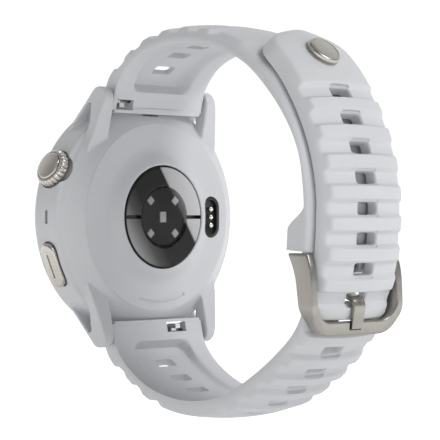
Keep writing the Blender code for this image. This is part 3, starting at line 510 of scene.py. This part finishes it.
def build_sensor():
    """The dark ring with its metallised halves round the small lens, and the diodes just under the lens."""
    carrier = ((9.15, -2.5), (9.15, -0.2), (9.1, -0.1), (9.04, -0.08), (9.02, -0.15), (9.02, -1.2), (5.3, -1.2),
               (5.3, -2.5))
    piece(turned_ring("sensor_bezel", carrier, Y_AXIS, 160), "black_plastic", "case", "sensor_carrier")
    section = ((9.0, -0.9), (9.0, -0.13), (8.98, -0.09), (8.94, -0.07), (8.8, -0.068), (5.8, -0.042), (5.62, -0.04),
               (5.58, -0.06), (5.56, -0.1), (5.56, -0.9))
    for name, node, side in (("metal_half_upper", "electrode_upper", -1), ("metal_half_lower", "electrode_lower", 1)):
        rows = []
        for share in np.linspace(0, 1, 90):
            row = []
            for rad, h in section:
                edge = math.asin(ELECTRODE_GAP / 2 / rad)
                a = side * (edge + (math.pi - 2 * edge) * share)
                row.append((rad * math.cos(a), rad * math.sin(a), h))
            rows.append(row)
        piece(loft(name, rows, Y_AXIS), "mirror_metal", "case", node)
    window = ((0, -0.2), (5.45, -0.2), (5.5, -0.16), (5.5, -0.1), (5.42, -0.04), (5.3, -0.01), (5.12, -0.03),
              (5.04, -0.03), (4.95, 0.0), (0, 0))
    piece(lathe("sensor_lens", window, Y_AXIS, 160), "glass", "case", "sensor_window", material=LENS)
    floor = ((0, -2.4), (5.2, -2.4), (5.2, -0.55), (5.05, -0.42), (4.9, -0.42), (4.85, -0.5), (0, -0.5))
    piece(lathe("sensor_floor", floor, Y_AXIS, 96), "black_plastic", "case", "sensor_board")
    led = bevelled(box("led_window", (-0.72, -1.95, -0.95), (0.72, -0.32, 0.95)), 0.08, 2)
    piece(led, "silicon", "case", "led_cluster")
    for number, (x, z) in enumerate(CORNERS, 1):
        at = shift(x * DIODE_OFFSET, 0, z * DIODE_OFFSET) @ Matrix.Rotation(math.radians(45), 4, "Y")
        diode = bevelled(box(f"diode_{number}", (-0.62, -1.95, -0.62), (0.62, -0.32, 0.62), at), 0.08, 2)
        piece(diode, "silicon", "case", f"photodiode_{number}")


def build_front():
    bezel = ((17.75, -12.75), (17.8, -12.95), (18.0, -13.0), (18.9, -12.95), (20.0, -12.3), (20.35, -11.75),
             (20.4, -11.4), (17.75, -11.4))
    piece(turned_ring("bezel", bezel, Y_AXIS, 160), "titanium", "case", "bezel_ring",
          material=ringed("bezel_titanium", TITANIUM, 0.25, (0, 0, 0), (0, 1, 0)))
    glass = ((0, -11.9), (17.35, -11.9), (17.5, -12.0), (17.5, -12.8), (17.3, -12.98), (0, -13.0))
    piece(lathe("lens", glass, Y_AXIS, 160), "glass", "case", "front_glass",
          material=glassy("front_glass_look", (0.008, 0.008, 0.01), 0.03))


def build_crown():
    at = radial(CONTROL_ANGLE)
    b = CROWN_BASE
    knob = ((0, b), (0.9, b), (3.0, b), (3.25, b + 0.12), (3.4, b + 0.35), (3.42, b + 0.7), (3.38, b + 1.15),
            (3.2, b + 1.5), (3.0, b + 1.68), (2.72, b + 1.75), (2.62, b + 1.72), (2.6, b + 1.55), (2.6, b + 1.4),
            (0, b + 1.4))
    look = ringed("crown_titanium", PALE_TITANIUM, 0.28, *axis_of(at))
    ring = lathe("crown_ring", knob, at, 288, 24, (3, 4, 5, 6, 7), 0.3)
    bore = cylinder("stem_bore", 0.9, b - 1, b + 1.1, at)
    piece(boolean(ring, bore), "titanium", "crown", "crown_knob", material=look)
    cap = ((0, b + 1.5), (2.4, b + 1.5), (2.5, b + 1.6), (2.5, b + 1.82), (2.4, b + 1.95), (2.2, b + 2.0),
           (0, b + 2.04))
    piece(lathe("crown_face", cap, at, 96), "titanium", "crown", "crown_cap", material=look)


def build_button():
    at = radial(-CONTROL_ANGLE)
    button = bevelled(prism("pill_button", pill(BUTTON_LENGTH, BUTTON_WIDTH), BUTTON_BASE, BUTTON_TOP, at), 0.45, 5)
    boolean(button, cylinder("button_shaft", 0.8, 14.4, BUTTON_BASE + 0.3, at), "UNION")
    boolean(button, prism("button_groove", pill(4.6, 0.42), BUTTON_TOP - 0.3, BUTTON_TOP + 1, at))
    look = brushed("button_titanium", PALE_TITANIUM, 0.28, (1, 0.05, 1), 0.08)
    piece(button, "titanium", "side_button", "side_button", material=look)


def spring(name, at, radius, wire, low, high, turns):
    """A coil spring wound from a low to a high height along its place's local Z."""
    rows = []
    for t in np.linspace(0, 1, turns * 24 + 1):
        a = math.tau * turns * t
        height = low + wire / 2 + (high - low - wire) * t
        row = []
        for b in np.linspace(0, math.tau, 12, endpoint=False):
            reach = radius + wire / 2 * math.cos(b)
            row.append((reach * math.cos(a), reach * math.sin(a), height + wire / 2 * math.sin(b)))
        rows.append(row)
    coil = loft(name + "_coil", rows, at)
    piece(coil, "steel", "case", name)
    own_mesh(coil)


def build_springs():
    spring("crown_spring", radial(CONTROL_ANGLE), 1.32, 0.22, 18.45, 20.65, 3)
    spring("button_spring", radial(-CONTROL_ANGLE), 1.32, 0.22, 18.45, 20.75, 3)
    back = X_AXIS @ Matrix.Rotation(math.pi, 4, "X")
    for side, z, turn, start in (("upper", BAR_Z, X_AXIS, 6.6), ("lower", -BAR_Z, back, 2.3)):
        spring(f"{side}_bar_spring", shift(0, BAR_Y, z) @ turn, 0.36, 0.14, start - 4.8, start - 2.1, 3)


# ---- straps ----

def ease(s, start, end):
    """0 before start, 1 after end, and smooth between them."""
    t = min(max((s - start) / (end - start), 0.0), 1.0)
    return t * t * (3 - 2 * t)


class Line:
    """A smooth curve in the side view through a strap's points, measured along its length."""

    def __init__(self, points):
        p = np.array(points, float)
        ends = np.vstack([2 * p[0] - p[1], p, 2 * p[-1] - p[-2]])
        samples = []
        for i in range(1, len(ends) - 2):
            a, b, c, d = ends[i - 1], ends[i], ends[i + 1], ends[i + 2]
            for t in np.arange(0, 1, 0.05):
                samples.append(0.5 * (2 * b + (c - a) * t + (2 * a - 5 * b + 4 * c - d) * t * t
                                      + (3 * b - a - 3 * c + d) * t ** 3))
        samples.append(p[-1])
        self.points = np.array(samples)
        self.at = np.concatenate([[0], np.cumsum(np.linalg.norm(np.diff(self.points, axis=0), axis=1))])
        self.length = self.at[-1]

    def point(self, s):
        return np.array([np.interp(s, self.at, self.points[:, k]) for k in (0, 1)])

    def normal(self, s, side):
        ahead, behind = self.point(min(s + 0.8, self.length)), self.point(max(s - 0.8, 0))
        along = (ahead - behind) / np.linalg.norm(ahead - behind)
        return side * np.array([-along[1], along[0]])

    def lengths_above(self, side, height):
        above = np.array([self.point(s) + height * self.normal(s, side) for s in self.at])
        return np.concatenate([[0], np.cumsum(np.linalg.norm(np.diff(above, axis=0), axis=1))])


def rounded(points, count, passes):
    """A polyline as evenly spaced points, its corners softened."""
    p = np.array(points, float)
    at = np.concatenate([[0], np.cumsum(np.linalg.norm(np.diff(p, axis=0), axis=1))])
    places = np.linspace(0, at[-1], count)
    q = np.column_stack([np.interp(places, at, p[:, k]) for k in (0, 1)])
    for _ in range(passes):
        q[1:-1] = 0.25 * q[:-2] + 0.5 * q[1:-1] + 0.25 * q[2:]
    return q


class Strap:
    """One half of the strap, as a cross-section that changes along its line."""

    OVERHANG = (0.3, 0.0)       # how far the rubber runs past the two ends of the line

    def __init__(self, points, side):
        self.line = Line(points)
        self.side = side
        self.middle = self.line.lengths_above(side, 1.5)
        self.hole_places = []
        self.groove_places = []

    def under(self, middle_length):
        return float(np.interp(middle_length, self.middle, self.line.at))

    def groove_depth(self, s):
        half = GROOVE_LENGTH / 2
        nearest = min((abs(s - g) for g in self.groove_places), default=half)
        return GROOVE * (1 - ease(nearest, half - 0.65, half + 0.05))

    def half_width(self, s):
        return STRAP_HALF

    def top(self, s):
        return 2.77 + 1.6 * (1 - ease(s, 2.5, 9))

    def bulge(self, s):
        return 0.0

    def hollow(self, s):
        return 0.8 * ease(s, 8, 25)

    def pocket(self, s):
        fading = 1.3 * (1 - ease(s, 3.3, 25)) + 0.8 * (1 - ease(s, 3.6, 9))
        return fading * ease(s, 3.05, 3.75)

    def section(self, s):
        """Half of the cross-section as (x, height above the line), from the middle inside to the middle outside."""
        half, top, hollow, down = self.half_width(s), self.top(s), self.hollow(s), -self.bulge(s)
        side = min(SIDE_WALL, 0.45 * top)
        top_cut = top - self.groove_depth(s)
        chamfer_x = half - CHAMFER * (top_cut - side) / max(top - side, 0.1)
        pocket = self.pocket(s)
        edge = min(POCKET_HALF - 1.1 * (1 - ease(s, 3.0, 4.6)), 0.7 * half)

        def inner(x):
            return hollow * (1 - (x / half) ** 2) + down

        def crowned(x):
            return top_cut + CROWNING * (1 - (x / chamfer_x) ** 2) * min(1.0, top / 2.5)

        inside = [(x, inner(x) + pocket) for x in np.linspace(0, edge - 0.45, 8)]
        inside += [(edge - 0.1, inner(edge)), (half - 0.2, inner(half - 0.2)), (half, inner(half) + 0.2)]
        outside = [(half, side), (chamfer_x, top_cut)]
        outside += [(x, crowned(x)) for x in np.linspace(chamfer_x, 0, 9)[1:]]
        return rounded(inside, 22, 1)[:-1].tolist() + rounded([inside[-1]] + outside, 36, 2).tolist()

    def solid(self, name):
        rows = []
        steps = int(self.line.length / 0.22)
        before, after = self.OVERHANG
        for s in np.linspace(-before, self.line.length + after, steps + 1):
            at, out = self.line.point(s), self.line.normal(s, self.side)
            along = self.side * np.array([out[1], -out[0]])
            at = at + along * (min(s, 0.0) + max(s - self.line.length, 0.0))
            half = self.section(s)
            loop = half + [(-x, n) for x, n in reversed(half[1:-1])]
            rows.append([(x, at[0] + n * out[0], at[1] + n * out[1]) for x, n in loop])
        return loft(name, rows)

    def across(self, s, height=0.0):
        """A place on the strap: local Z points out of it and local X runs across it."""
        at, out = self.line.point(s), self.line.normal(s, self.side)
        z = Vector((0, out[0], out[1]))
        x = Vector((1, 0, 0))
        axes = Matrix((x, z.cross(x), z)).transposed().to_4x4()
        return shift(0, at[0] + height * out[0], at[1] + height * out[1]) @ axes

    def hole(self, s):
        """A hole's shape, flared at the outside where its edge is rounded."""
        face = self.top(s) - self.groove_depth(s) + CROWNING * 0.85
        rows = []
        for height, grow in ((-3, 0), (face - 0.45, 0), (face - 0.25, 0.03), (face - 0.1, 0.1), (face, 0.2),
                             (face + 0.1, 0.34), (face + 2, 0.34)):
            outline = rounded_rectangle(HOLE_WIDTH + 2 * grow, HOLE_HEIGHT + 2 * grow, 0.5 + grow)
            rows.append([(x, y, height) for x, y in outline])
        return loft("hole", rows, self.across(s))


class ShortStrap(Strap):
    """The buckle's half. Under the tail it is only as thick as the room there."""

    OVERHANG = (0.3, 0.2)

    def __init__(self, tail):
        super().__init__(SHORT_LINE, 1)
        self.tail = tail
        self.tip_s = self.nearest(tail.line.points[-1])
        self.hole_places = [self.under(7.4 + HOLE_PITCH * i) for i in range(4)]
        self.groove_places = self.hole_places + [self.under(7.4 + HOLE_PITCH * i) for i in (4, 5)]

    def nearest(self, point):
        return float(self.line.at[np.argmin(np.linalg.norm(self.line.points - point, axis=1))])

    def room(self, s):
        gaps = np.linalg.norm(self.tail.line.points - self.line.point(s), axis=1)
        return float(gaps.min()) - GAP - 0.5 * (1 - ease(s, self.tip_s + 1, self.tip_s + 7))

    def top(self, s):
        full = super().top(s) - 0.1 * ease(s, 15, 30)
        if s < self.tip_s - 8:
            return full
        return full + (min(self.room(s), full) - full) * ease(s, self.tip_s - 8, self.tip_s - 4)

    def bulge(self, s):
        return 3.6 * ease(s, self.line.length - 7.2, self.line.length - 3.2)

    def hollow(self, s):
        return 0.3 * (1 - ease(s, 30, 45))


class LongStrap(Strap):
    """The half with the row of holes, which ends in the tail."""

    TAIL_ROUND = 5.0

    def __init__(self):
        super().__init__(LONG_LINE, -1)
        total = self.middle[-1]
        self.stud_s = self.under(total - STUD_FROM_END)
        self.hole_places = [self.under(total - HOLES_FROM_END - HOLE_PITCH * i) for i in range(14)]
        self.end_holes = [self.under(7.6 + HOLE_PITCH * i) for i in range(3)]
        self.groove_places = self.hole_places + self.end_holes

    def top(self, s):
        return super().top(s) + 0.1 - 0.5 * ease(s, 45, 52) * (1 - ease(s, 58, 64))

    def half_width(self, s):
        width = STRAP_HALF + (TAIL_HALF - STRAP_HALF) * ease(s, 12, 54)
        before_end = self.line.length - s
        if before_end < self.TAIL_ROUND:
            width -= 5.5 * (1 - math.sqrt(1 - (1 - before_end / self.TAIL_ROUND) ** 2 * 0.98))
        return width


def spring_bar_room(obj, z, low_x, high_x):
    """The end's lip towards the case, the tunnel for the spring bar and the slot for its release knob."""
    low, high = sorted((math.copysign(18.55, z), math.copysign(19.6, z)))
    boolean(obj, bevelled(box("lip", (-10.3, -2.55, low), (10.3, -1.72, high)), 0.2, 3), "UNION")
    boolean(obj, cylinder("bar_tunnel", 1.1, -15, 15, shift(0, BAR_Y, z) @ X_AXIS))
    middle = math.copysign(20.0, z)
    slot = prism("release_window", pill(high_x - low_x, 1.5), -1, 4, shift((low_x + high_x) / 2, 0, middle) @ Y_AXIS)
    boolean(obj, slot)
    boolean(obj, box("knob_room", (low_x, -3.9, middle - 0.9), (high_x, -1.0, middle + 0.9)))


def build_long_strap(long):
    strap = long.solid("strap_with_holes")
    boolean(strap, joined("holes", [long.hole(s) for s in long.hole_places + long.end_holes]))
    boolean(strap, cylinder("stud_hole", 1.2, -3, 7, long.across(long.stud_s)))
    spring_bar_room(strap, -BAR_Z, -6.6, -2.0)
    boolean(strap, frame_solid("frame_dent", DENT))
    boolean(strap, tongue_blade("tongue_dent", long, BLADE_THICK + 2 * DENT, TONGUE_HALF + DENT))
    piece(strap, "strap_rubber", "case", "long_strap", smooth_angle=38)


def build_short_strap(short):
    strap = short.solid("strap_with_buckle")
    tab = [(41.2, -4.6), (45.2, -4.6)] + arc((PIN_Y, PIN_Z), 1.35, 20, -125, 18) + [(41.2, -6.6)]
    boolean(strap, bevelled(prism("tab", tab, -7.4, 7.4, SIDE_PLANE), 0.3, 3, 60), "UNION")
    boolean(strap, cylinder("pin_tunnel", PIN_HOLE_R, -12, 12, shift(0, PIN_Y, PIN_Z) @ X_AXIS))
    boolean(strap, box("tongue_slot", (-2.1, 40, -11), (2.1, 47, -6.1)))
    boolean(strap, joined("holes", [short.hole(s) for s in short.hole_places]))
    boolean(strap, cylinder("stud_hole", 1.45, -6, 1, short.tail.across(short.tail.stud_s)))
    spring_bar_room(strap, BAR_Z, 6.0, 10.0)
    piece(strap, "strap_rubber", "case", "short_strap", smooth_angle=38)


def build_stud(long):
    """A disc on the tail with a peg that buttons into the short strap."""
    at = long.across(long.stud_s, long.top(long.stud_s) + CROWNING)
    profile = ((0, -5.2), (0.8, -5.2), (1.0, -5.0), (1.0, 0.3), (2.85, 0.3), (3.03, 0.4), (3.03, 0.75), (2.9, 0.98),
               (2.7, 1.08), (2.52, 1.08), (2.45, 1.0), (2.38, 1.0), (2.3, 1.08), (1.5, 1.13), (0, 1.15))
    look = ringed("stud_titanium", (0.5, 0.48, 0.45), 0.26, *axis_of(at))
    piece(lathe("stud", profile, at, 96), "titanium", "case", "tail_stud", material=look)


# ---- buckle ----

def frame_solid(name, room=0.0):
    """A flat U bent to follow the strap: an outer and an inner path with the face between them."""
    outer, inner = FRAME_HALF + room, FRAME_HALF - ARM_THICK - room
    top, low, sill = -5.85 + room, -19.35 - room, -17.0 + room
    big, small = 5.0 + room, 3.6 - room
    right_out = [(outer, z) for z in np.linspace(top, low + big, 15)[:-1]]
    right_out += arc((outer - big, low + big), big, 0, -90, 16)
    right_in = [(inner, z) for z in np.linspace(top, sill + small, 15)[:-1]]
    right_in += arc((inner - small, sill + small), small, 0, -90, 16)
    steps = np.linspace(1, -1, 17)[1:-1]
    bar_out, bar_in = [(x * (outer - big), low) for x in steps], [(x * (inner - small), sill) for x in steps]
    path_out = right_out + bar_out + [(-x, z) for x, z in reversed(right_out)]
    path_in = right_in + bar_in + [(-x, z) for x, z in reversed(right_in)]
    rows = []
    for (ox, oz), (ix, iz) in zip(path_out, path_in):
        row = []
        for x, z, heights, way in ((ox, oz, FRAME_OUTSIDE, 1), (ix, iz, FRAME_OUTSIDE, 1),
                                   (ix, iz, FRAME_WRIST_SIDE, -1), (ox, oz, FRAME_WRIST_SIDE, -1)):
            row.append((x, float(np.interp(z, FRAME_HEIGHTS, heights)) + way * room, z))
        rows.append(row)
    return loft(name, rows)


def build_buckle_frame():
    frame_obj = bevelled(frame_solid("buckle_loop"), 0.36, 4, 50)
    boolean(frame_obj, bevelled(box("tongue_notch", (-1.48, 45.75, -18.5), (1.48, 50, -16)), 0.3, 4))
    boolean(frame_obj, cylinder("pin_holes", PIN_HOLE_R, -10.7, 10.7, shift(0, PIN_Y, PIN_Z) @ X_AXIS))
    look = brushed("buckle_titanium", DARK_TITANIUM, 0.32, (1, 1, 0.03), 0.14, 0.12)
    piece(frame_obj, "titanium", "buckle_frame", "buckle_frame", material=look)


def tongue_blade(name, long, thick, half_width):
    """A flat blade from the pin, out through the strap's hole and down over the frame's bar."""
    hole = long.hole_places[7]
    start, out = long.line.point(hole), long.line.normal(hole, long.side)
    down = np.array([out[1], -out[0]])
    middle = Line(((PIN_Y - 0.25, PIN_Z - 1.2), (43.45, -10.4), start - 0.2 * out - 0.5 * down, start + 0.8 * out,
                   start + 2.5 * out + 0.1 * down, (46.98, -14.2), (46.98, -15.4), (46.45, -18.3)))
    rows = []
    for s in np.linspace(0, middle.length, 60):
        near = 1 - 0.3 * ease(s, middle.length - 5, middle.length)
        at, out = middle.point(s), middle.normal(s, 1)
        half = thick / 2 * near
        wide = half_width * (1 - 0.12 * ease(s, middle.length - 2, middle.length))
        rows.append([(x, at[0] + n * out[0], at[1] + n * out[1])
                     for x, n in ((-wide, -half), (wide, -half), (wide, half), (-wide, half))])
    return loft(name, rows)


def build_buckle_tongue(long):
    tongue = bevelled(tongue_blade("tongue", long, BLADE_THICK, TONGUE_HALF), 0.16, 3, 50)
    at_pin = shift(0, PIN_Y, PIN_Z) @ X_AXIS
    boolean(tongue, bevelled(cylinder("knuckle", 1.4, -1.3, 1.3, at_pin), 0.15, 2, 50), "UNION")
    boolean(tongue, cylinder("tongue_bore", PIN_HOLE_R, -3, 3, at_pin))
    look = brushed("tongue_titanium", DARK_TITANIUM, 0.3, (1, 0.04, 0.04), 0.12)
    piece(tongue, "titanium", "buckle_tongue", "buckle_tongue", material=look)


def dress_the_rest():
    """Every CAD piece that is still shown gets its finish and softened edges."""
    for part in frame["record"]["subparts"]:
        node = frame["nodes"][part["node"]]
        if node.hide_render:
            continue
        node.data.materials.clear()
        node.data.materials.append(LOOKS[part["material_slot"]])
        node.data.shade_smooth()
        node.data.set_sharp_from_angle(angle=math.radians(35))
        modifier = node.modifiers.new("bevel", "BEVEL")
        modifier.width = 0.00006
        modifier.segments = 2
        modifier.limit_method = "ANGLE"
        modifier.angle_limit = math.radians(40)


# ---- studio ----

CAMERA_AT, CAMERA_HEADING, FOCAL_LENGTH = (0.2302, 0.2545, -0.00054), 136.2, 155.45
BEHIND = (-0.6921, -0.7218, 0)      # the way the camera looks
ROOM, WALL, HORIZON = 0.25, 1.05, 0.9
KEY_POWER, RIM_POWER = 4.3, 0.15
FLOOR_HALF, FLOOR_Z = 30, -0.06


def add_camera():
    data = bpy.data.cameras.new("camera")
    data.lens = FOCAL_LENGTH
    data.sensor_width = 36
    data.clip_end = 60
    camera = bpy.data.objects.new("camera", data)
    bpy.context.scene.collection.objects.link(camera)
    camera.location = CAMERA_AT
    camera.rotation_euler = (math.radians(90), 0, math.radians(CAMERA_HEADING))
    bpy.context.scene.camera = camera


def add_light(name, location, target, size, power):
    data = bpy.data.lights.new(name, "AREA")
    data.shape = "DISK"
    data.size = size
    data.energy = power
    light = bpy.data.objects.new(name, data)
    bpy.context.scene.collection.objects.link(light)
    light.location = location
    light.rotation_euler = (Vector(target) - Vector(location)).to_track_quat("-Z", "Y").to_euler()


def studio_world():
    """A white wall behind the watch and a pale horizon all round, with a softer grey room above."""
    world = bpy.data.worlds.new("studio")
    world.use_nodes = True
    tree = world.node_tree
    background = tree.nodes["Background"]
    where = tree.nodes.new("ShaderNodeTexCoord")
    brighter = tree.nodes.new("ShaderNodeMath")
    brighter.operation = "MAXIMUM"
    parts = ((BEHIND, 0.1, 0.8, ROOM, WALL), ((0, 0, 1), 0.03, 0.2, HORIZON, ROOM))
    for index, (direction, lowest, highest, first, last) in enumerate(parts):
        towards = tree.nodes.new("ShaderNodeVectorMath")
        towards.operation = "DOT_PRODUCT"
        towards.inputs[1].default_value = direction
        grey = tree.nodes.new("ShaderNodeMapRange")
        for name, value in (("From Min", lowest), ("From Max", highest), ("To Min", first), ("To Max", last)):
            grey.inputs[name].default_value = value
        tree.links.new(where.outputs["Generated"], towards.inputs[0])
        tree.links.new(towards.outputs["Value"], grey.inputs["Value"])
        tree.links.new(grey.outputs["Result"], brighter.inputs[index])
    tree.links.new(brighter.outputs[0], background.inputs["Color"])
    background.inputs["Strength"].default_value = 1.0
    bpy.context.scene.world = world


def add_floor():
    """A white floor well below the watch. It glows, and brighter further out."""
    corners = [(x * FLOOR_HALF, y * FLOOR_HALF, FLOOR_Z) for x, y in ((-1, -1), (1, -1), (1, 1), (-1, 1))]
    mesh = bpy.data.meshes.new("floor")
    mesh.from_pydata(corners, [], [(0, 1, 2, 3)])
    floor = bpy.data.objects.new("floor", mesh)
    bpy.context.scene.collection.objects.link(floor)
    white = Nodes("floor_white")
    white.shader.inputs["Base Color"].default_value = (0.9, 0.9, 0.9, 1)
    white.shader.inputs["Roughness"].default_value = 0.9
    white.shader.inputs["Emission Color"].default_value = (1, 1, 1, 1)
    where = white.add("ShaderNodeTexCoord")
    length = white.add("ShaderNodeVectorMath", operation="LENGTH")
    white.join(where.outputs["Object"], length, 0)
    glow = white.add("ShaderNodeMapRange", **{"From Min": 0.06, "From Max": 0.25, "To Min": 0.1, "To Max": 0.75})
    white.join(length.outputs["Value"], glow, "Value")
    white.join(glow.outputs["Result"], white.shader, "Emission Strength")
    floor.data.materials.append(white.material)


def add_studio():
    bpy.context.scene.view_settings.view_transform = "Standard"
    studio_world()
    add_floor()
    add_light("key", (-0.25, 0.75, 0.65), (0, 0.02, 0), 0.35, KEY_POWER)
    add_light("rim", (0.55, -0.15, 0.45), (0, 0, 0), 0.25, RIM_POWER)


build_case_shell()
build_back_cover()
build_sensor()
build_front()
build_crown()
build_button()
build_springs()
long_half = LongStrap()
build_long_strap(long_half)
build_short_strap(ShortStrap(long_half))
build_stud(long_half)
build_buckle_frame()
build_buckle_tongue(long_half)
dress_the_rest()
add_camera()
add_studio()
